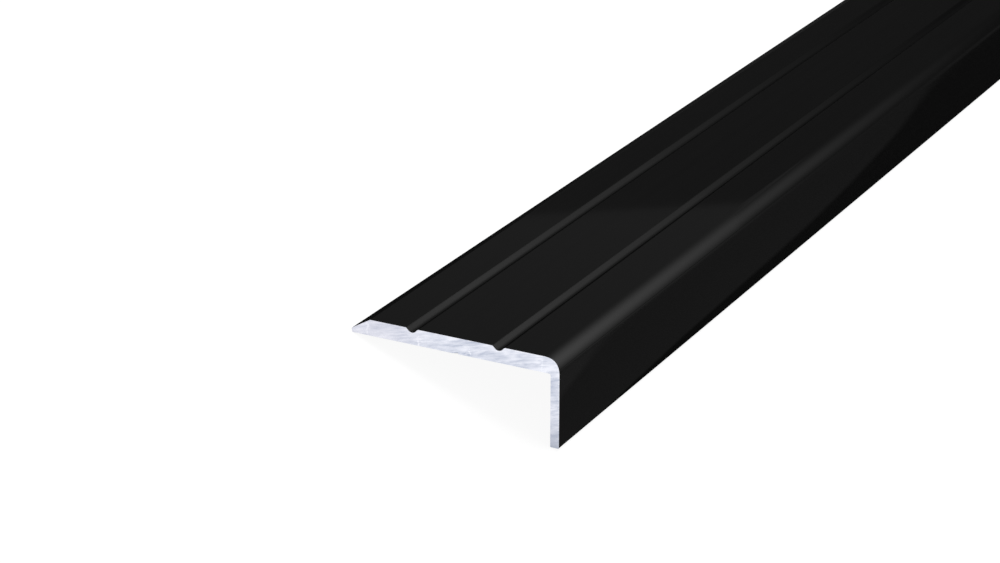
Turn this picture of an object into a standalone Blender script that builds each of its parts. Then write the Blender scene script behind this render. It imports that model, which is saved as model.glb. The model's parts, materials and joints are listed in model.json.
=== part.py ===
# Black anodised aluminium angle profile, an edge trim for steps and floor coverings.
# One extruded length with square sawn ends: a wide flange with a ramped free edge and
# two grooves along its top, and a short, thinner leg turned down at the other edge.
# Units are metres and +Z is up. The length lies along Y, with its middle over the origin.
# The profile rests as it does when it is put down: on its foot and on its ramped edge.

import math

import bmesh
import bpy
from mathutils import Vector

# Length of the stock
PROFILE_LENGTH = 1.0

# Section: the flange is measured from the leg's outer face, the leg from the top face
FLANGE_WIDTH = 0.0245
LEG_HEIGHT = 0.010
FLANGE_THICKNESS = 0.0018
LEG_THICKNESS = 0.0010
OUTER_CORNER_RADIUS = 0.0015
INNER_CORNER_RADIUS = 0.0002
FOOT_RADIUS = 0.00012

# Ramp that runs the flange's free edge down to a thin lip
RAMP_ANGLE = math.radians(30)
LIP_THICKNESS = 0.0005
LIP_RADIUS = 0.0002
RAMP_CREST_RADIUS = 0.0003

# Evenly spaced grooves with straight walls and a round bottom, cut into the top face
GROOVE_COUNT = 2
FIRST_GROOVE_FROM_LEG = 0.0070
LAST_GROOVE_FROM_LIP = 0.0073
GROOVE_WIDTH = 0.0014
GROOVE_WALL_ANGLE = math.radians(45)
GROOVE_BOTTOM_RADIUS = 0.0005
GROOVE_LIP_RADIUS = 0.00015

# Finish of the facets
ARC_TOLERANCE = 0.000002
WELD_DISTANCE = 0.000001
SHARP_EDGE_ANGLE = math.radians(24)

BLACK_SKIN = {"name": "black_anodised_skin", "colour": (0.010, 0.010, 0.011), "roughness": 0.38, "metallic": 0.0}
SAWN_METAL = {"name": "sawn_aluminium", "colour": (0.72, 0.75, 0.82), "roughness": 0.42, "metallic": 1.0}


def clear_scene():
    for old in list(bpy.data.objects):
        bpy.data.objects.remove(old)


def make_collection(name):
    collection = bpy.data.collections.new(name)
    bpy.context.scene.collection.children.link(collection)
    return collection


def make_material(finish):
    material = bpy.data.materials.new(finish["name"])
    material.use_nodes = True
    shader = material.node_tree.nodes["Principled BSDF"]
    shader.inputs["Base Color"].default_value = (*finish["colour"], 1.0)
    shader.inputs["Roughness"].default_value = finish["roughness"]
    shader.inputs["Metallic"].default_value = finish["metallic"]
    material.diffuse_color = (*finish["colour"], 1.0)
    return material


def arc_steps(radius, sweep):
    """How many chords keep an arc within the tolerance."""
    flatness = max(1 - ARC_TOLERANCE / radius, 0.5)
    return max(1, math.ceil(sweep / (2 * math.acos(flatness))))


def rounded_corner(before, corner, after, radius):
    """The points of a fillet between two straight runs. It never uses more than half of either run."""
    back = (before - corner).normalized()
    ahead = (after - corner).normalized()
    half_angle = back.angle(ahead) / 2
    reach = min(radius / math.tan(half_angle), (before - corner).length / 2, (after - corner).length / 2)
    radius = reach * math.tan(half_angle)
    centre = corner + (back + ahead).normalized() * (radius / math.sin(half_angle))
    start = corner + back * reach - centre
    end = corner + ahead * reach - centre
    sweep = start.angle_signed(end)
    steps = arc_steps(radius, abs(sweep))
    points = []
    for step in range(steps + 1):
        turn = -sweep * step / steps
        spoke = Vector((
            start.x * math.cos(turn) - start.y * math.sin(turn),
            start.x * math.sin(turn) + start.y * math.cos(turn),
        ))
        points.append(centre + spoke)
    return points


def groove_centres():
    """From the groove beside the leg to the one beside the ramp."""
    first = -FIRST_GROOVE_FROM_LEG
    last = -FLANGE_WIDTH + LAST_GROOVE_FROM_LIP
    gaps = max(GROOVE_COUNT - 1, 1)
    return [first + (last - first) * index / gaps for index in range(GROOVE_COUNT)]


def groove_corners(centre_x):
    """Lip, bottom and lip of one groove, from the leg's side to the ramp's side."""
    half_width = GROOVE_WIDTH / 2
    bottom = LEG_HEIGHT - half_width * math.tan(GROOVE_WALL_ANGLE)
    return [
        (centre_x + half_width, LEG_HEIGHT, GROOVE_LIP_RADIUS),
        (centre_x, bottom, GROOVE_BOTTOM_RADIUS),
        (centre_x - half_width, LEG_HEIGHT, GROOVE_LIP_RADIUS),
    ]


def section_corners():
    """Sharp corners of the section with their radii, counter-clockwise from the foot.
    X is 0 at the leg's outer face and runs negative to the lip. Y is 0 at the foot."""
    underside = LEG_HEIGHT - FLANGE_THICKNESS
    ramp_run = (FLANGE_THICKNESS - LIP_THICKNESS) / math.tan(RAMP_ANGLE)
    corners = [
        (0.0, 0.0, FOOT_RADIUS),
        (0.0, LEG_HEIGHT, OUTER_CORNER_RADIUS),
    ]
    for centre_x in groove_centres():
        corners += groove_corners(centre_x)
    corners += [
        (-FLANGE_WIDTH + ramp_run, LEG_HEIGHT, RAMP_CREST_RADIUS),
        (-FLANGE_WIDTH, underside + LIP_THICKNESS, LIP_RADIUS),
        (-FLANGE_WIDTH, underside, LIP_RADIUS),
        (-LEG_THICKNESS, underside, INNER_CORNER_RADIUS),
        (-LEG_THICKNESS, 0.0, FOOT_RADIUS),
    ]
    return corners


def section_outline():
    corners = section_corners()
    places = [Vector((x, y)) for x, y, _ in corners]
    outline = []
    for index, (_, _, radius) in enumerate(corners):
        following = places[(index + 1) % len(places)]
        outline += rounded_corner(places[index - 1], places[index], following, radius)
    return outline


def resting_angle():
    """How far the section leans from leg-upright until the lip's lower edge meets the floor
    beside the foot: the slope of the line that touches both rounded edges from below."""
    foot = Vector((-LEG_THICKNESS + FOOT_RADIUS, FOOT_RADIUS))
    lip = Vector((-FLANGE_WIDTH + LIP_RADIUS, LEG_HEIGHT - FLANGE_THICKNESS + LIP_RADIUS))
    across = foot - lip
    return math.asin(-across.y / across.length) - math.asin((LIP_RADIUS - FOOT_RADIUS) / across.length)


def extruded_section(name, outline, length):
    """A filled flat outline, extruded half the length to either side and turned into a welded mesh."""
    curve = bpy.data.curves.new(name + "_section", "CURVE")
    curve.dimensions = "2D"
    curve.fill_mode = "BOTH"
    curve.extrude = length / 2
    spline = curve.splines.new("POLY")
    spline.points.add(len(outline) - 1)
    for point, place in zip(spline.points, outline):
        point.co = (place.x, place.y, 0.0, 1.0)
    spline.use_cyclic_u = True
    guide = bpy.data.objects.new(name + "_section", curve)
    bpy.context.scene.collection.objects.link(guide)
    mesh = bpy.data.meshes.new_from_object(guide.evaluated_get(bpy.context.evaluated_depsgraph_get()))
    bpy.data.objects.remove(guide)

    welded = bmesh.new()
    welded.from_mesh(mesh)
    bmesh.ops.remove_doubles(welded, verts=welded.verts, dist=WELD_DISTANCE)
    bmesh.ops.recalc_face_normals(welded, faces=welded.faces)
    welded.to_mesh(mesh)
    welded.free()
    mesh.name = name
    return mesh


def finish_surfaces(mesh):
    """Black skin on what the die formed, bare metal on the two sawn ends."""
    mesh.materials.clear()
    mesh.materials.append(make_material(BLACK_SKIN))
    mesh.materials.append(make_material(SAWN_METAL))
    for face in mesh.polygons:
        face.material_index = 1 if abs(face.normal.z) > 0.5 else 0
    mesh.shade_smooth()
    mesh.set_sharp_from_angle(angle=SHARP_EDGE_ANGLE)


def lay_down(profile, outline, lean):
    """Leans the section, then sets it on the floor with its width centred."""
    leaned = [
        (place.x * math.cos(lean) - place.y * math.sin(lean), place.x * math.sin(lean) + place.y * math.cos(lean))
        for place in outline
    ]
    across = [x for x, _ in leaned]
    profile.rotation_euler = (math.radians(90), -lean, 0.0)
    profile.location = (-(min(across) + max(across)) / 2, 0.0, -min(z for _, z in leaned))


def main():
    clear_scene()
    collection = make_collection("black_angle_profile")
    outline = section_outline()
    mesh = extruded_section("angle_profile", outline, PROFILE_LENGTH)
    finish_surfaces(mesh)
    profile = bpy.data.objects.new("angle_profile", mesh)
    collection.objects.link(profile)
    lay_down(profile, outline, resting_angle())


main()
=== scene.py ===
import json
import math

import bpy
from mathutils import Euler, Matrix, Vector


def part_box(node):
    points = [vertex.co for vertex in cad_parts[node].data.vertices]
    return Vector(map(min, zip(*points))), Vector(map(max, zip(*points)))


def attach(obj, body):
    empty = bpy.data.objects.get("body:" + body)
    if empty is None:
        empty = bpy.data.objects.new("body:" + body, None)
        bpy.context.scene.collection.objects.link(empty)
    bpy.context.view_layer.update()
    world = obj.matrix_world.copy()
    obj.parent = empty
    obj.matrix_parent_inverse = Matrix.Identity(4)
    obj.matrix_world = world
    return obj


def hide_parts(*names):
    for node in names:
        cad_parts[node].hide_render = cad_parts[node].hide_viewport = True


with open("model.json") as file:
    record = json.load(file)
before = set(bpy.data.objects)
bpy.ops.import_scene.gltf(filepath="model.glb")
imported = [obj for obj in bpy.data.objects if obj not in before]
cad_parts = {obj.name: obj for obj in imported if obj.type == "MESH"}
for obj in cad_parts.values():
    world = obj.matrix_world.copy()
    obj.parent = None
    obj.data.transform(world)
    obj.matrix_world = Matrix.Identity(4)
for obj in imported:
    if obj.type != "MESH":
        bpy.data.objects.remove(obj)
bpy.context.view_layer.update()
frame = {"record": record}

mm = 0.001
print("frame loaded")

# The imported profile, and the mount that shows how its section leans at rest
nodeName = "angle_profile"
nodeLow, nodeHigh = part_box(nodeName)
length = nodeHigh.y - nodeLow.y
mounts = {mount["name"]: mount for mount in frame["record"]["mounts"]}
flangeMount = mounts["flange_underside"]

# Sizes of the section with its leg upright, in mm and degrees. X is 0 at the leg's outer face and
# runs negative to the lip, Z is 0 at the foot
section = {
    "flangeWidth": 24.5,
    "legHeight": 10.0,
    "flangeThickness": 1.8,
    "legThickness": 1.0,
    "outerCornerReach": 1.9,
    "outerCornerFullness": 0.587,
    "innerCornerRadius": 0.2,
    "footRadius": 0.12,
    "rampAngle": 30.0,
    "lipThickness": 0.5,
    "lipRadius": 0.2,
    "rampCrestRadius": 0.3,
    "grooveCentres": (7.0, 17.2),
    "grooveWidth": 1.4,
    "grooveWallAngle": 45.0,
    "grooveBottomRadius": 0.6,
    "grooveLipRadius": 0.25,
}
underside = section["legHeight"] - section["flangeThickness"]

# The lean is read from the underside's normal, and the place from the middle of that face
leanAngle = math.asin(flangeMount["axis"][0])
leanTurn = Matrix.Rotation(-leanAngle, 4, "Y")
middleX = -(section["flangeWidth"] + section["legThickness"]) / 2
undersideMiddle = Vector((middleX * mm, 0.0, underside * mm))
leanPlace = Vector(flangeMount["pos_m"]) - leanTurn @ undersideMiddle
leanPlace.y = nodeLow.y
sectionToWorld = Matrix.Translation(leanPlace) @ leanTurn


# Camera, in the upright section's frame: mm and degrees, with the clip distances in metres
camera = {
    "lens": 98.395,
    "sensorWidth": 36.0,
    "place": (113.824, -226.922, 119.992),
    "downTilt": 21.794,
    "leftTurn": 27.996,
    "clip": (0.01, 50.0),
}


def makeCamera():
    bpy.ops.object.camera_add()
    cam = bpy.context.object
    cam.name = "photoCamera"
    cam.data.lens = camera["lens"]
    cam.data.sensor_width = camera["sensorWidth"]
    cam.data.clip_start, cam.data.clip_end = camera["clip"]
    facing = Euler((math.radians(90 - camera["downTilt"]), 0.0, math.radians(camera["leftTurn"])))
    place = Matrix.Translation(Vector(camera["place"]) * mm)
    cam.matrix_world = sectionToWorld @ place @ facing.to_matrix().to_4x4()
    bpy.context.scene.camera = cam


# Colours and nodes

def srgb(hexColour):
    # Hex colour to the linear values that the shaders take, by the sRGB curve
    channels = [int(hexColour[i:i + 2], 16) / 255 for i in (1, 3, 5)]
    linear = [c / 12.92 if c <= 0.04045 else ((c + 0.055) / 1.055) ** 2.4 for c in channels]
    return (*linear, 1.0)


def addNode(tree, kind, settings=None, links=None):
    # A node with its settings and links. A setting's key is an input's name or number, or else a
    # property of the node; a link is from an input's name or number to (node, output)
    node = tree.nodes.new(kind)
    for key, value in (settings or {}).items():
        if isinstance(key, int) or key in node.inputs:
            node.inputs[key].default_value = value
        else:
            setattr(node, key, value)
    for key, (source, output) in (links or {}).items():
        tree.links.new(source.outputs[output], node.inputs[key])
    return node


def newMaterial(name):
    material = bpy.data.materials.new(name)
    material.use_nodes = True
    tree = material.node_tree
    tree.nodes.clear()
    return material, tree


# Selection

near = 1e-6  # how close to its named place an edge has to lie, in metres
aligned = 0.9  # how much of a direction or normal has to point along an axis


def deselectAll():
    bpy.ops.object.select_all(action="DESELECT")


def selectOnly(piece):
    deselectAll()
    piece.select_set(True)
    bpy.context.view_layer.objects.active = piece


def selectEdge(piece, x, z):
    # In edit mode, selects the lengthwise edge at (x, z) mm
    place = Vector((x, 0.0, z)) * mm
    bpy.ops.mesh.select_mode(type="EDGE")
    bpy.ops.mesh.select_all(action="DESELECT")
    bpy.ops.object.mode_set(mode="OBJECT")
    points = piece.data.vertices
    for edge in piece.data.edges:
        start, end = (points[i].co for i in edge.vertices)
        middle = (start + end) / 2
        direction = end - start
        away = Vector((middle.x - place.x, 0.0, middle.z - place.z))
        edge.select = abs(direction.y) > aligned * direction.length and away.length < near
    bpy.ops.object.mode_set(mode="EDIT")


def selectFaces(piece, test):
    # In edit mode, selects the faces whose centre and normal pass the test
    bpy.ops.mesh.select_mode(type="FACE")
    bpy.ops.mesh.select_all(action="DESELECT")
    bpy.ops.object.mode_set(mode="OBJECT")
    for face in piece.data.polygons:
        face.select = test(face.center, face.normal)
    bpy.ops.object.mode_set(mode="EDIT")


# The profile, modelled with its leg upright and its length along Y: mm and degrees
body = {
    "endBreak": 0.03,
    "arcStep": 4.0,  # each facet of a rounding turns about this far
    "fewestFacets": 3,
    "flatAngle": 0.5,  # faces that lie flatter than this to each other become one
    "smoothAngle": 24.0,
    "chipStart": -12.5,
    "chipDeepest": -11.72,
    "chipDepth": 0.17,
    "chipLength": 0.35,
    "chipBlock": (4.0, 4.0, 1.0),
    "sawnFrom": 0.5,  # a face is sawn metal when its normal points this far to an end
    "shadedGrooveBetween": (0.02, 0.999),  # and gets a weaker sheen as painted shade in a groove when it points up by a share between these
}


def roundEdge(piece, x, z, radius, cornerAngle, fullness=0.5):
    # Rounds the lengthwise edge at (x, z) mm. cornerAngle is the angle between its two faces, and a
    # fullness of 0.5 is a circle's
    selectEdge(piece, x, z)
    bpy.ops.mesh.bevel(
        offset=radius * mm / math.tan(math.radians(cornerAngle) / 2),
        offset_type="OFFSET",
        segments=max(body["fewestFacets"], round((180 - cornerAngle) / body["arcStep"])),
        profile=fullness,
        affect="EDGES",
    )


def cutAcross(x):
    # A lengthwise cut all round the section at x mm
    bpy.ops.mesh.select_all(action="SELECT")
    bpy.ops.mesh.bisect(plane_co=(x * mm, 0.0, 0.0), plane_no=(1.0, 0.0, 0.0))


def lowerEdge(piece, x, z, drop):
    # Lowers the lengthwise edge at (x, z) mm by drop mm
    selectEdge(piece, x, z)
    bpy.ops.transform.translate(value=(0.0, 0.0, -drop * mm))


def makeProfile():
    deselectAll()
    s = section
    bpy.ops.mesh.primitive_cube_add(
        size=1.0,
        location=(-s["flangeWidth"] / 2 * mm, 0.0, (underside + s["flangeThickness"] / 2) * mm),
        scale=(s["flangeWidth"] * mm, length - 2 * body["endBreak"] * mm, s["flangeThickness"] * mm),
    )
    profile = bpy.context.object
    profile.name = "blackAngleProfile"
    bpy.ops.object.transform_apply(location=True, rotation=True, scale=True)
    bpy.ops.object.mode_set(mode="EDIT")

    # The leg is drawn down from a strip of the slab's underside
    cutAcross(-s["legThickness"])
    selectFaces(profile, lambda centre, normal: normal.z < -aligned and centre.x > -s["legThickness"] * mm)
    bpy.ops.mesh.extrude_region_move(TRANSFORM_OT_translate={"value": (0.0, 0.0, -underside * mm)})

    # The free edge is pressed down to a thin lip, which makes the ramp
    ramp = math.radians(s["rampAngle"])
    rampDrop = s["flangeThickness"] - s["lipThickness"]
    crest = -s["flangeWidth"] + rampDrop / math.tan(ramp)
    cutAcross(crest)
    lowerEdge(profile, -s["flangeWidth"], s["legHeight"], rampDrop)

    # Each groove is a V whose bottom edge is pushed down between two cuts
    wall = math.radians(s["grooveWallAngle"])
    halfWidth = s["grooveWidth"] / 2
    grooveDrop = halfWidth * math.tan(wall)
    for centre in s["grooveCentres"]:
        for offset in (-halfWidth, 0.0, halfWidth):
            cutAcross(-centre + offset)
        lowerEdge(profile, -centre, s["legHeight"], grooveDrop)

    # Coplanar cuts go, so that each flat is one face again
    bpy.ops.mesh.select_all(action="SELECT")
    bpy.ops.mesh.dissolve_limited(angle_limit=math.radians(body["flatAngle"]))
    print("section shaped")

    # Every lengthwise edge gets its own radius
    lipTop = underside + s["lipThickness"]
    grooveBottom = s["legHeight"] - grooveDrop
    grooveLipAngle = 180 - s["grooveWallAngle"]
    grooveBottomAngle = 180 - 2 * s["grooveWallAngle"]
    roundEdge(profile, 0.0, s["legHeight"], s["outerCornerReach"], 90, s["outerCornerFullness"])
    roundEdge(profile, -s["legThickness"], underside, s["innerCornerRadius"], 90)
    roundEdge(profile, 0.0, 0.0, s["footRadius"], 90)
    roundEdge(profile, -s["legThickness"], 0.0, s["footRadius"], 90)
    roundEdge(profile, -s["flangeWidth"], underside, s["lipRadius"], 90)
    roundEdge(profile, -s["flangeWidth"], lipTop, s["lipRadius"], 90 + s["rampAngle"])
    roundEdge(profile, crest, s["legHeight"], s["rampCrestRadius"], 180 - s["rampAngle"])
    for centre in s["grooveCentres"]:
        for side in (-halfWidth, halfWidth):
            roundEdge(profile, -centre + side, s["legHeight"], s["grooveLipRadius"], grooveLipAngle)
        roundEdge(profile, -centre, grooveBottom, s["grooveBottomRadius"], grooveBottomAngle)
    print("edges rounded")

    # The saw leaves a fine break round both ends
    for side in (-1, 1):
        selectFaces(profile, lambda centre, normal: normal.y * side > aligned)
        bpy.ops.mesh.inset(thickness=body["endBreak"] * mm)
        bpy.ops.transform.translate(value=(0.0, side * body["endBreak"] * mm, 0.0))
    bpy.ops.mesh.select_all(action="SELECT")
    bpy.ops.mesh.normals_make_consistent(inside=False)
    bpy.ops.object.mode_set(mode="OBJECT")
    return profile


def chipEnd(profile):
    # The saw has torn a chip out of the underside at the near end. A tilted block cuts it: steep on
    # its side towards the leg, shallow on the other, and running out inwards
    depth = body["chipDepth"]
    width = body["chipDeepest"] - body["chipStart"]
    tilt = Euler((-math.atan2(depth, body["chipLength"]), -math.atan2(depth, width), 0.0))
    size = Vector(body["chipBlock"]) * mm
    deepest = Vector((body["chipDeepest"] * mm, -length / 2, (underside + depth) * mm))
    toDeepest = tilt.to_matrix() @ Vector((size.x / 2, 0.0, size.z / 2))
    deselectAll()
    bpy.ops.mesh.primitive_cube_add(size=1.0, location=deepest - toDeepest, rotation=tilt, scale=size)
    block = bpy.context.object
    selectOnly(profile)
    chip = profile.modifiers.new("chip", "BOOLEAN")
    chip.operation = "DIFFERENCE"
    chip.object = block
    bpy.ops.object.modifier_apply(modifier=chip.name)
    bpy.data.objects.remove(block)


def paintProfile(profile):
    # Black skin outside, the same skin with a weaker sheen inside the grooves as painted shade, bare metal
    # on the sawn ends
    for material in (
        blackAnodisedAluminium("black anodised aluminium", skin["coatWeight"]),
        blackAnodisedAluminium("black anodised aluminium in a groove", skin["shadedGrooveCoatWeight"]),
        sawnAluminium(),
    ):
        profile.data.materials.append(material)
    halfWidth = section["grooveWidth"] / 2 + section["grooveLipRadius"]
    grooveShadeFrom, grooveShadeTo = body["shadedGrooveBetween"]
    for face in profile.data.polygons:
        x, z = face.center.x / mm, face.center.z / mm
        inGroove = z > underside and any(abs(x + centre) < halfWidth for centre in section["grooveCentres"])
        if abs(face.normal.y) > body["sawnFrom"]:
            face.material_index = 2
        elif inGroove and grooveShadeFrom < face.normal.z < grooveShadeTo:
            face.material_index = 1
        else:
            face.material_index = 0


def layDown(profile):
    # Leans the profile to its resting place, with its place in its mesh
    profile.rotation_euler = leanTurn.to_euler()
    profile.location = Vector((leanPlace.x, (nodeLow.y + nodeHigh.y) / 2, leanPlace.z))
    selectOnly(profile)
    bpy.ops.object.transform_apply(location=True, rotation=True, scale=True)


def smoothProfile(profile):
    bpy.ops.object.shade_smooth_by_angle(angle=math.radians(body["smoothAngle"]))
    even = profile.modifiers.new("evenNormals", "WEIGHTED_NORMAL")
    even.keep_sharp = True
    bpy.ops.object.modifier_apply(modifier=even.name)


# Materials, with the sizes of their patterns in mm

skin = {
    "dark": "#060606",
    "light": "#0a0a0a",
    "lineSize": (0.35, 160.0, 0.35),
    "grainSize": (0.12, 0.5, 0.12),
    "grainShare": 0.35,
    "noiseDetail": 2.0,
    "roughness": (0.42, 0.58),
    "bump": 0.0002,
    "coatWeight": 0.07,
    # The weaker coat in the grooves is painted shade in those recesses
    "shadedGrooveCoatWeight": 0.049,
    "coatRoughness": 0.03,
    "coatIor": 1.5,
}


def blackAnodisedAluminium(name, coatWeight):
    # Extruded aluminium, anodised and dyed: a deep black under a thin clear sheen. The die leaves faint
    # lines along the length, and the etch before anodising a fine grain. The real grain is too fine to
    # show, a few hundredths of a millimetre, so it is drawn coarser
    material, tree = newMaterial(name)
    place = addNode(tree, "ShaderNodeTexCoord")
    marks = []
    for size in (skin["lineSize"], skin["grainSize"]):
        sized = addNode(tree, "ShaderNodeMapping", {
            "vector_type": "TEXTURE",
            "Scale": Vector(size) * mm,
        }, {"Vector": (place, "Object")})
        marks.append(addNode(tree, "ShaderNodeTexNoise", {
            "Scale": 1.0,
            "Detail": skin["noiseDetail"],
        }, {"Vector": (sized, 0)}))
    lines, grain = marks
    both = addNode(tree, "ShaderNodeMix", {
        "data_type": "FLOAT",
        0: skin["grainShare"],
    }, {2: (lines, 0), 3: (grain, 0)})
    tone = addNode(tree, "ShaderNodeMix", {
        "data_type": "RGBA",
        6: srgb(skin["dark"]),
        7: srgb(skin["light"]),
    }, {0: (both, 0)})
    satin = addNode(tree, "ShaderNodeMapRange", {
        "To Min": skin["roughness"][0],
        "To Max": skin["roughness"][1],
    }, {"Value": (both, 0)})
    bump = addNode(tree, "ShaderNodeBump", {"Distance": skin["bump"] * mm}, {"Height": (both, 0)})
    shader = addNode(tree, "ShaderNodeBsdfPrincipled", {
        "Specular IOR Level": 0.0,
        "Coat Weight": coatWeight,
        "Coat Roughness": skin["coatRoughness"],
        "Coat IOR": skin["coatIor"],
    }, {"Base Color": (tone, 2), "Roughness": (satin, 0), "Normal": (bump, 0), "Coat Normal": (bump, 0)})
    addNode(tree, "ShaderNodeOutputMaterial", links={"Surface": (shader, "BSDF")})
    return material


cut = {
    "light": "#f4f6ff",
    "dark": "#b4bccf",
    "lavender": "#e0dee8",
    "shade": "#a0a7b6",
    "patterns": {  # the size of a patch, and its climb in degrees
        "streaks": ((2.6, 1.0, 0.24), 13.0),
        "fine": ((0.7, 1.0, 0.12), 13.0),
        "mottle": ((3.4, 1.0, 1.0), 18.0),
        "bands": ((5.0, 1.0, 0.5), 0.0),
        "flecks": ((0.35, 1.0, 0.16), 0.0),
    },
    "noiseDetail": 2.5,
    "noiseRoughness": 0.55,
    "lineShare": 0.3,
    "shares": {"fine": 0.16, "mottle": 0.54},
    "levels": (0.36, 0.6),
    "bandsFrom": (8.3, 7.6),
    "bandShare": 0.5,
    "fleckLevels": (0.64, 0.74),
    "fleckLift": 0.35,
    "wander": 1.1,
    "brokenLevels": (0.38, 0.56),
    "scratchesAndChipShade": (  # x, z, half width, half height, and how much lighter it is
        (-22.6, 9.1, 0.18, 1.2, 0.8),
        (-16.4, 8.75, 0.16, 0.8, 0.9),
        (-10.35, 8.75, 0.12, 0.5, 0.6),
        (-1.9, 9.0, 0.14, 0.9, 0.5),
        # The last row is painted shade beside the chip, darker rather than lighter
        (-10.75, 8.36, 0.8, 0.2, -0.8),
    ),
    "scratchCore": 0.3,
    # The rim is a burnish with a painted highlight along the outer edge
    "rimRadius": 1.5,
    "rimWidth": 0.12,
    "rimHighlightLift": 0.5,
    "lavenderFrom": (-13.0, -21.0),
    "lavenderDepth": 0.45,
    "shadeFrom": 5.5,
    "shadeCurve": 2.0,
    "shadeDepth": 0.66,
    "roughness": (0.34, 0.48),
    "bump": 0.004,
}


def sawnAluminium():
    # Bare aluminium as the saw left it: pale and faintly blue, with short streaks that climb across the
    # flange, soft bands down the leg, a lavender tint towards the lip, a burnished outer edge under a
    # painted highlight, and painted shade towards the foot
    material, tree = newMaterial("sawn aluminium")
    place = addNode(tree, "ShaderNodeTexCoord")
    upright = addNode(tree, "ShaderNodeMapping", {
        "vector_type": "TEXTURE",
        "Location": leanPlace,
        "Rotation": (0.0, -leanAngle, 0.0),
        "Scale": (mm, mm, mm),
    }, {"Vector": (place, "Object")})
    across = addNode(tree, "ShaderNodeSeparateXYZ", links={"Vector": (upright, 0)})

    # Noise whose patches have real sizes in mm, climbing at a tilt
    noise = {}
    for name, (size, tilt) in cut["patterns"].items():
        sized = addNode(tree, "ShaderNodeMapping", {
            "vector_type": "TEXTURE",
            "Rotation": (0.0, -math.radians(tilt), 0.0),
            "Scale": size,
        }, {"Vector": (upright, 0)})
        noise[name] = addNode(tree, "ShaderNodeTexNoise", {
            "Scale": 1.0,
            "Detail": cut["noiseDetail"],
            "Roughness": cut["noiseRoughness"],
        }, {"Vector": (sized, 0)})

    # On the leg, bands take over from the streaks
    onLeg = addNode(tree, "ShaderNodeMapRange", {
        "From Min": cut["bandsFrom"][0],
        "From Max": cut["bandsFrom"][1],
        "To Max": cut["bandShare"],
    }, {"Value": (across, "Z")})
    lines = addNode(tree, "ShaderNodeMix", {"data_type": "FLOAT"}, {
        0: (onLeg, 0),
        2: (noise["streaks"], 0),
        3: (noise["bands"], 0),
    })
    level = addNode(tree, "ShaderNodeMath", {"operation": "MULTIPLY", 1: cut["lineShare"]}, {0: (lines, 0)})
    for name, share in cut["shares"].items():
        level = addNode(tree, "ShaderNodeMath", {"operation": "MULTIPLY_ADD", 1: share}, {
            0: (noise[name], 0),
            2: (level, 0),
        })
    level = addNode(tree, "ShaderNodeMapRange", {
        "From Min": cut["levels"][0],
        "From Max": cut["levels"][1],
    }, {"Value": (level, 0)})
    fleck = addNode(tree, "ShaderNodeMapRange", {
        "From Min": cut["fleckLevels"][0],
        "From Max": cut["fleckLevels"][1],
        "To Max": cut["fleckLift"],
    }, {"Value": (noise["flecks"], 0)})
    level = addNode(tree, "ShaderNodeMath", {"operation": "ADD"}, {0: (level, 0), 1: (fleck, 0)})

    # Pale scratches that wander and break, and painted shade beside the chip
    wavy = addNode(tree, "ShaderNodeVectorMath", {
        "operation": "MULTIPLY_ADD",
        1: (cut["wander"], 0.0, 0.0),
    }, {0: (noise["mottle"], "Color"), 2: (upright, 0)})
    broken = addNode(tree, "ShaderNodeMapRange", {
        "From Min": cut["brokenLevels"][0],
        "From Max": cut["brokenLevels"][1],
    }, {"Value": (noise["fine"], 0)})
    for x, z, halfWidth, halfHeight, lift in cut["scratchesAndChipShade"]:
        inside = addNode(tree, "ShaderNodeMapping", {
            "vector_type": "TEXTURE",
            "Location": (x + cut["wander"] / 2, 0.0, z),
            "Scale": (halfWidth, 1.0, halfHeight),
        }, {"Vector": (wavy, 0)})
        away = addNode(tree, "ShaderNodeVectorMath", {"operation": "LENGTH"}, {0: (inside, 0)})
        mark = addNode(tree, "ShaderNodeMapRange", {
            "From Min": 1.0,
            "From Max": cut["scratchCore"],
            "To Max": lift,
        }, {"Value": (away, "Value")})
        level = addNode(tree, "ShaderNodeMath", {"operation": "MULTIPLY_ADD"}, {
            0: (mark, 0),
            1: (broken, 0),
            2: (level, 0),
        })

    # The burnished outer edge, made lighter by a painted highlight: how far a point lies out from the
    # centre of the rounded corner, or beside it from that centre's level
    corner = cut["rimRadius"]
    besideCorner = addNode(tree, "ShaderNodeVectorMath", {
        "operation": "MULTIPLY_ADD",
        1: (1.0, 0.0, 1.0),
        2: (corner, 0.0, corner - section["legHeight"]),
    }, {0: (upright, 0)})
    outside = addNode(tree, "ShaderNodeVectorMath", {"operation": "MAXIMUM"}, {0: (besideCorner, 0)})
    reach = addNode(tree, "ShaderNodeVectorMath", {"operation": "LENGTH"}, {0: (outside, 0)})
    rim = addNode(tree, "ShaderNodeMapRange", {
        "From Min": corner - cut["rimWidth"],
        "From Max": corner,
        "To Max": cut["rimHighlightLift"],
    }, {"Value": (reach, "Value")})
    level = addNode(tree, "ShaderNodeMath", {"operation": "MULTIPLY_ADD"}, {
        0: (rim, 0),
        1: (broken, 0),
        2: (level, 0),
    })

    tone = addNode(tree, "ShaderNodeMix", {
        "data_type": "RGBA",
        6: srgb(cut["dark"]),
        7: srgb(cut["light"]),
    }, {0: (level, 0)})
    lavender = addNode(tree, "ShaderNodeMapRange", {
        "From Min": cut["lavenderFrom"][0],
        "From Max": cut["lavenderFrom"][1],
        "To Max": cut["lavenderDepth"],
    }, {"Value": (across, "X")})
    tinted = addNode(tree, "ShaderNodeMix", {"data_type": "RGBA", 7: srgb(cut["lavender"])}, {
        0: (lavender, 0),
        6: (tone, 2),
    })
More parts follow.
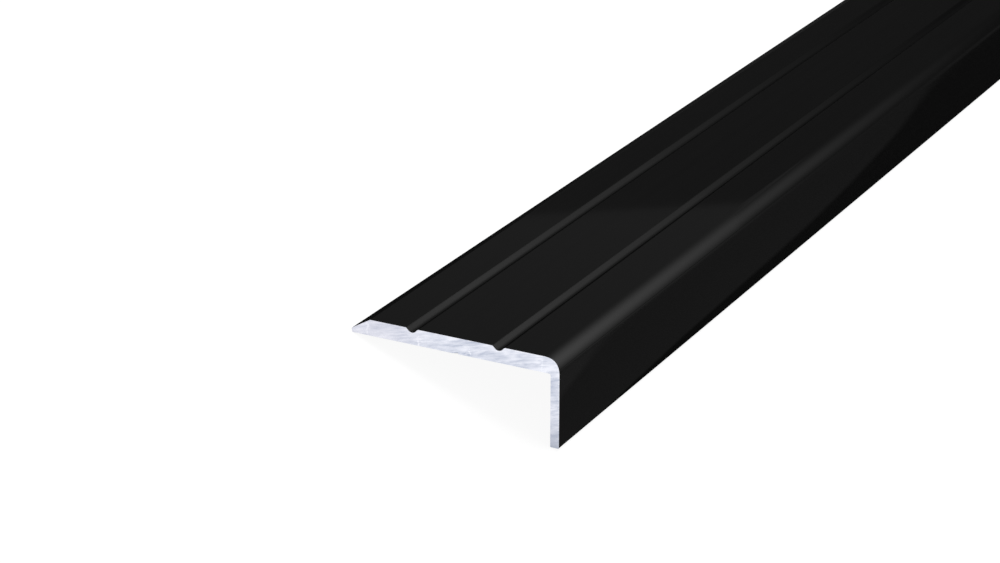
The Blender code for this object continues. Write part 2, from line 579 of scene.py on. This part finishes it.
    # Painted shade: the sawn face is mixed towards the shade colour, darker towards the foot
    low = addNode(tree, "ShaderNodeMapRange", {
        "From Min": cut["shadeFrom"],
        "From Max": 0.0,
    }, {"Value": (across, "Z")})
    curved = addNode(tree, "ShaderNodeMath", {"operation": "POWER", 1: cut["shadeCurve"]}, {0: (low, 0)})
    depth = addNode(tree, "ShaderNodeMath", {
        "operation": "MULTIPLY",
        1: cut["shadeDepth"],
    }, {0: (curved, 0)})
    shaded = addNode(tree, "ShaderNodeMix", {"data_type": "RGBA", 7: srgb(cut["shade"])}, {
        0: (depth, 0),
        6: (tinted, 2),
    })

    satin = addNode(tree, "ShaderNodeMapRange", {
        "To Min": cut["roughness"][0],
        "To Max": cut["roughness"][1],
    }, {"Value": (noise["fine"], 0)})
    bump = addNode(tree, "ShaderNodeBump", {"Distance": cut["bump"] * mm}, {"Height": (level, 0)})
    shader = addNode(tree, "ShaderNodeBsdfPrincipled", {"Metallic": 1.0}, {
        "Base Color": (shaded, 2),
        "Roughness": (satin, 0),
        "Normal": (bump, 0),
    })
    addNode(tree, "ShaderNodeOutputMaterial", links={"Surface": (shader, "BSDF")})
    return material


# Stage: white floor and surroundings, lamps, and cards that only reflections see

stageLook = {
    "floorSize": 40.0,  # in metres
    "floorGap": 0.02,  # how far the floor lies under the profile, in mm
    "litShare": 0.09,  # how much of the floor's look comes from the lamps and the shadow
    "whiteStrength": 1.03,
    "floorColour": "#f4f4f4",
    "skyStrength": 0.6,
}


def whiteToEye(tree):
    # 1 where the camera, a reflection or a view through glass looks, otherwise 0
    path = addNode(tree, "ShaderNodeLightPath")
    eye = addNode(tree, "ShaderNodeMath", {"operation": "MAXIMUM"}, {
        0: (path, "Is Camera Ray"),
        1: (path, "Is Glossy Ray"),
    })
    return addNode(tree, "ShaderNodeMath", {"operation": "MAXIMUM"}, {
        0: (eye, 0),
        1: (path, "Is Transmission Ray"),
    })


def makeFloor():
    deselectAll()
    bpy.ops.mesh.primitive_plane_add(
        size=stageLook["floorSize"],
        location=(0.0, 0.0, -stageLook["floorGap"] * mm),
    )
    floor = bpy.context.object
    floor.name = "floor"
    material, tree = newMaterial("white floor")
    seen = whiteToEye(tree)
    share = addNode(tree, "ShaderNodeMath", {
        "operation": "MULTIPLY",
        1: 1 - stageLook["litShare"],
    }, {0: (seen, 0)})
    lit = addNode(tree, "ShaderNodeBsdfDiffuse", {"Color": srgb(stageLook["floorColour"])})
    white = addNode(tree, "ShaderNodeEmission", {"Strength": stageLook["whiteStrength"]})
    mix = addNode(tree, "ShaderNodeMixShader", links={0: (share, 0), 1: (lit, 0), 2: (white, 0)})
    addNode(tree, "ShaderNodeOutputMaterial", links={"Surface": (mix, 0)})
    floor.data.materials.append(material)


def makeSky():
    world = bpy.data.worlds.new("whiteRoom")
    bpy.context.scene.world = world
    world.use_nodes = True
    tree = world.node_tree
    tree.nodes.clear()
    seen = whiteToEye(tree)
    strength = addNode(tree, "ShaderNodeMapRange", {
        "To Min": stageLook["skyStrength"],
    }, {"Value": (seen, 0)})
    sky = addNode(tree, "ShaderNodeBackground", links={"Strength": (strength, 0)})
    addNode(tree, "ShaderNodeOutputWorld", links={"Surface": (sky, 0)})


lamps = {
    "softbox": {"place": (-0.4, 0.2, 2.6), "aim": (0.0, 0.0, 0.0), "size": 1.6, "watts": 75.0},
}


def makeLamps():
    for name, lamp in lamps.items():
        deselectAll()
        bpy.ops.object.light_add(type="AREA", location=lamp["place"])
        light = bpy.context.object
        light.name = name
        light.data.shape = "DISK"
        light.data.size = lamp["size"]
        light.data.energy = lamp["watts"]
        light.rotation_euler = (Vector(lamp["aim"]) - light.location).to_track_quat("-Z", "Y").to_euler()


# Cards in mm and degrees. The two back ones stand at the far end, across the profile's axis. The
# flag's outline is two arcs with the corners of flagEdge between them
cards = {
    "arcStep": 3,
    "backDistance": 1000.0,
    "axisHeight": 9.0,
    "flagRadius": 555.0,
    "flagTurns": (0, 111, 177, 357),
    "flagEdge": ((-242.0, 483.0), (-305.0, 396.0), (-395.0, 376.4), (-900.0, 490.0), (-900.0, 31.0)),
    "flagLevels": (0.06, 0.61),
    "flagReach": 1000.0,
    "glowLead": 1.0,  # how far the glow stands in front of the flag
    "glowRadius": 1100.0,
    "glowStart": 360.0,
    "glowFull": 700.0,
    "glowFade": (760.0, 1090.0),
    "glowPower": 1.6,
    "glowBell": 1.8,
    "glowTurn": 42.0,
    "glowLevel": 8.9,
    "rampWidth": 12.0,
    "rampHeight": 0.08,
    "rampLevels": (0.045, 0.24),
    "rampReach": (25.0, 140.0),
    "poolCentre": (112.0, 100.0),
    "poolHeight": 0.11,
    "poolRadius": 100.0,
    "poolLevel": 2.1,
}

# Cards beside the leg: painted shadow on the floor, seen only in reflections. A border row gives a
# distance along the leg, and how far out from the leg the card is still full there and where it has
# faded away, all in mm
sideCards = {
    "greySideShadowCard": {
        "start": -0.2,
        "height": 0.05,
        "borders": ((0.0, 3.0, 3.6), (18.5, 9.4, 10.3), (25.5, 10.9, 11.8), (33.6, 12.6, 13.9),
                    (38.7, 13.4, 17.0), (44.0, 15.0, 21.0), (52.0, 16.0, 27.0), (64.0, 16.5, 36.0),
                    (76.0, 17.0, 50.0), (104.0, 20.0, 72.0), (150.0, 35.0, 105.0), (250.0, 80.0, 160.0),
                    (500.0, 208.0, 323.0), (1000.0, 469.0, 657.0)),
        "levels": (0.7, 0.28),
        "reach": (0.0, 200.0),
        "outwardLift": 0.2,
        "outwardReach": (12.0, 30.0),
    },
    "darkSideShadowCard": {
        "start": 0.1,
        "height": 0.08,
        "borders": ((3.0, 0.1, 0.3), (34.3, 1.8, 2.4), (65.1, 2.8, 3.6), (79.2, 3.4, 4.4), (95.1, 4.8, 5.8),
                    (113.4, 6.9, 7.9), (123.5, 8.2, 9.4), (136.2, 10.4, 11.8), (150.5, 12.6, 15.0),
                    (168.0, 13.5, 20.0), (240.0, 15.0, 25.0)),
        "levels": (0.13, 0.13),
        "reach": (0.0, 200.0),
        "outwardLift": 0.0,
        "outwardReach": (0.0, 30.0),
    },
}


def onlyReflected(card):
    card.visible_camera = False
    card.visible_diffuse = False
    card.visible_transmission = False
    card.visible_shadow = False


def shapeCard(name, corners, place, material):
    # A flat card from its corners in mm, laid out on the XY plane of its place
    deselectAll()
    bpy.ops.mesh.primitive_circle_add(vertices=len(corners), fill_type="NGON")
    card = bpy.context.object
    card.name = name
    for vertex, corner in zip(card.data.vertices, corners):
        vertex.co = Vector((*corner, 0.0)) * mm
    card.matrix_world = place
    card.data.materials.append(material)
    onlyReflected(card)


def arcCorners(radius, start=0, end=359):
    # Corners along an arc in degrees, or round a whole circle
    turns = [math.radians(degrees) for degrees in range(start, end + 1, cards["arcStep"])]
    return [(radius * math.cos(turn), radius * math.sin(turn)) for turn in turns]


def stripCorners(left, right):
    # A strip as long as the profile
    far = length / mm
    return (left, 0.0), (right, 0.0), (right, far), (left, far)


def backPlace(distance):
    # Upright across the profile's axis, facing its near end
    toAxis = Matrix.Translation(Vector((0.0, distance, cards["axisHeight"])) * mm)
    return sectionToWorld @ toAxis @ Matrix.Rotation(math.radians(90), 4, "X")


def floorPlace(height, x=0.0, y=0.0):
    # Flat on the floor, counted from the near end of the leg's outer face
    return Matrix.Translation(Vector((nodeHigh.x + x * mm, nodeLow.y + y * mm, height * mm)))


def flagMaterial():
    # Grey card, far darker towards the profile's axis
    material, tree = newMaterial("grey flag")
    place = addNode(tree, "ShaderNodeTexCoord")
    reach = addNode(tree, "ShaderNodeVectorMath", {"operation": "LENGTH"}, {0: (place, "Object")})
    level = addNode(tree, "ShaderNodeMapRange", {
        "From Max": cards["flagReach"] * mm,
        "To Min": cards["flagLevels"][0],
        "To Max": cards["flagLevels"][1],
    }, {"Value": (reach, "Value")})
    glow = addNode(tree, "ShaderNodeEmission", links={"Strength": (level, 0)})
    addNode(tree, "ShaderNodeOutputMaterial", links={"Surface": (glow, 0)})
    return material


def addedLight(tree, strength):
    # Light laid over whatever is behind the card
    glow = addNode(tree, "ShaderNodeEmission", links={"Strength": (strength, 0)})
    clear = addNode(tree, "ShaderNodeBsdfTransparent")
    both = addNode(tree, "ShaderNodeAddShader", links={0: (glow, 0), 1: (clear, 0)})
    addNode(tree, "ShaderNodeOutputMaterial", links={"Surface": (both, 0)})


def glowMaterial():
    # Soft light that grows away from the profile's axis, dies out at its rim and fades to either side
    # of its own direction
    material, tree = newMaterial("soft glow")
    place = addNode(tree, "ShaderNodeTexCoord")
    reach = addNode(tree, "ShaderNodeVectorMath", {"operation": "LENGTH"}, {0: (place, "Object")})
    rise = addNode(tree, "ShaderNodeMapRange", {
        "From Min": cards["glowStart"] * mm,
        "From Max": cards["glowFull"] * mm,
    }, {"Value": (reach, "Value")})
    curve = addNode(tree, "ShaderNodeMath", {"operation": "POWER", 1: cards["glowPower"]}, {0: (rise, 0)})
    outward = addNode(tree, "ShaderNodeVectorMath", {"operation": "NORMALIZE"}, {0: (place, "Object")})
    turn = math.radians(cards["glowTurn"])
    side = addNode(tree, "ShaderNodeVectorMath", {
        "operation": "DOT_PRODUCT",
        1: (math.sin(turn), math.cos(turn), 0.0),
    }, {0: (outward, 0)})
    ahead = addNode(tree, "ShaderNodeMath", {"operation": "MAXIMUM", 1: 0.0}, {0: (side, "Value")})
    bell = addNode(tree, "ShaderNodeMath", {"operation": "POWER", 1: cards["glowBell"]}, {0: (ahead, 0)})
    shape = addNode(tree, "ShaderNodeMath", {"operation": "MULTIPLY"}, {0: (curve, 0), 1: (bell, 0)})
    rim = addNode(tree, "ShaderNodeMapRange", {
        "interpolation_type": "SMOOTHSTEP",
        "From Min": cards["glowFade"][0] * mm,
        "From Max": cards["glowFade"][1] * mm,
        "To Min": cards["glowLevel"],
        "To Max": 0.0,
    }, {"Value": (reach, "Value")})
    strength = addNode(tree, "ShaderNodeMath", {"operation": "MULTIPLY"}, {0: (shape, 0), 1: (rim, 0)})
    addedLight(tree, strength)
    return material


def poolMaterial():
    # A soft pool of light just above the floor, full at its centre
    material, tree = newMaterial("pool of light")
    place = addNode(tree, "ShaderNodeTexCoord")
    reach = addNode(tree, "ShaderNodeVectorMath", {"operation": "LENGTH"}, {0: (place, "Object")})
    fade = addNode(tree, "ShaderNodeMapRange", {
        "interpolation_type": "SMOOTHSTEP",
        "From Max": cards["poolRadius"] * mm,
        "To Min": cards["poolLevel"],
        "To Max": 0.0,
    }, {"Value": (reach, "Value")})
    addedLight(tree, fade)
    return material


def rampMaterial():
    # Painted floor shadow beside the lip, seen only in reflections: grey that changes with the distance
    # from the near end
    material, tree = newMaterial("grey ramp card")
    place = addNode(tree, "ShaderNodeTexCoord")
    across = addNode(tree, "ShaderNodeSeparateXYZ", links={"Vector": (place, "Object")})
    level = addNode(tree, "ShaderNodeMapRange", {
        "From Min": cards["rampReach"][0] * mm,
        "From Max": cards["rampReach"][1] * mm,
        "To Min": cards["rampLevels"][0],
        "To Max": cards["rampLevels"][1],
    }, {"Value": (across, "Y")})
    glow = addNode(tree, "ShaderNodeEmission", links={"Strength": (level, 0)})
    addNode(tree, "ShaderNodeOutputMaterial", links={"Surface": (glow, 0)})
    return material


def sideMaterial(name, look):
    # Painted floor shadow beside the leg, seen only in reflections: grey that fades out towards its
    # border. It changes along the leg and out from it
    material, tree = newMaterial(name)
    place = addNode(tree, "ShaderNodeTexCoord")
    across = addNode(tree, "ShaderNodeSeparateXYZ", links={"Vector": (place, "Object")})
    rows = look["borders"]
    first, last = rows[0][0], rows[-1][0]
    along = addNode(tree, "ShaderNodeMapRange", {
        "From Min": first * mm,
        "From Max": last * mm,
    }, {"Value": (across, "Y")})

    # Each border is read off straight lines between its rows
    borders = []
    for column in (1, 2):
        border = addNode(tree, "ShaderNodeFloatCurve", links={"Value": (along, 0)})
        line = border.mapping.curves[0]
        places = [((row[0] - first) / (last - first), row[column] * mm) for row in rows]
        line.points[0].location = places[0]
        line.points[1].location = places[-1]
        for inner in places[1:-1]:
            line.points.new(*inner)
        for point in line.points:
            point.handle_type = "VECTOR"
        border.mapping.update()
        borders.append(border)
    full, faded = borders

    cover = addNode(tree, "ShaderNodeMapRange", links={
        "Value": (across, "X"),
        "From Min": (faded, 0),
        "From Max": (full, 0),
    })
    lengthwise = addNode(tree, "ShaderNodeMapRange", {
        "From Min": look["reach"][0] * mm,
        "From Max": look["reach"][1] * mm,
        "To Min": look["levels"][0],
        "To Max": look["levels"][1],
    }, {"Value": (across, "Y")})
    outward = addNode(tree, "ShaderNodeMapRange", {
        "From Min": look["outwardReach"][0] * mm,
        "From Max": look["outwardReach"][1] * mm,
        "To Max": look["outwardLift"],
    }, {"Value": (across, "X")})
    level = addNode(tree, "ShaderNodeMath", {"operation": "ADD"}, {0: (lengthwise, 0), 1: (outward, 0)})
    glow = addNode(tree, "ShaderNodeEmission", links={"Strength": (level, 0)})
    clear = addNode(tree, "ShaderNodeBsdfTransparent")
    mix = addNode(tree, "ShaderNodeMixShader", links={0: (cover, 0), 1: (clear, 0), 2: (glow, 0)})
    addNode(tree, "ShaderNodeOutputMaterial", links={"Surface": (mix, 0)})
    return material


def makeCards():
    c = cards
    first, second, third, last = c["flagTurns"]
    flag = (
        *arcCorners(c["flagRadius"], first, second),
        *c["flagEdge"],
        *arcCorners(c["flagRadius"], third, last),
    )
    shapeCard("backFlag", flag, backPlace(c["backDistance"]), flagMaterial())
    glowPlace = backPlace(c["backDistance"] - c["glowLead"])
    shapeCard("glow", arcCorners(c["glowRadius"]), glowPlace, glowMaterial())
    for name, look in sideCards.items():
        strip = stripCorners(look["start"], look["borders"][-1][2])
        shapeCard(name, strip, floorPlace(look["height"]), sideMaterial(name, look))
    rampPlace = Matrix.Translation(Vector((nodeLow.x, nodeLow.y, c["rampHeight"] * mm)))
    shapeCard("rampShadowCard", stripCorners(-c["rampWidth"], 0.0), rampPlace, rampMaterial())
    poolPlace = floorPlace(c["poolHeight"], *c["poolCentre"])
    shapeCard("pool", arcCorners(c["poolRadius"]), poolPlace, poolMaterial())


makeCamera()
makeSky()
makeFloor()
makeLamps()
makeCards()
print("stage set")

profile = makeProfile()
chipEnd(profile)
paintProfile(profile)
layDown(profile)
smoothProfile(profile)
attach(profile, "root")
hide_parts(nodeName)
print("profile made", len(profile.data.polygons), "faces")

bpy.context.scene.view_settings.view_transform = "Standard"
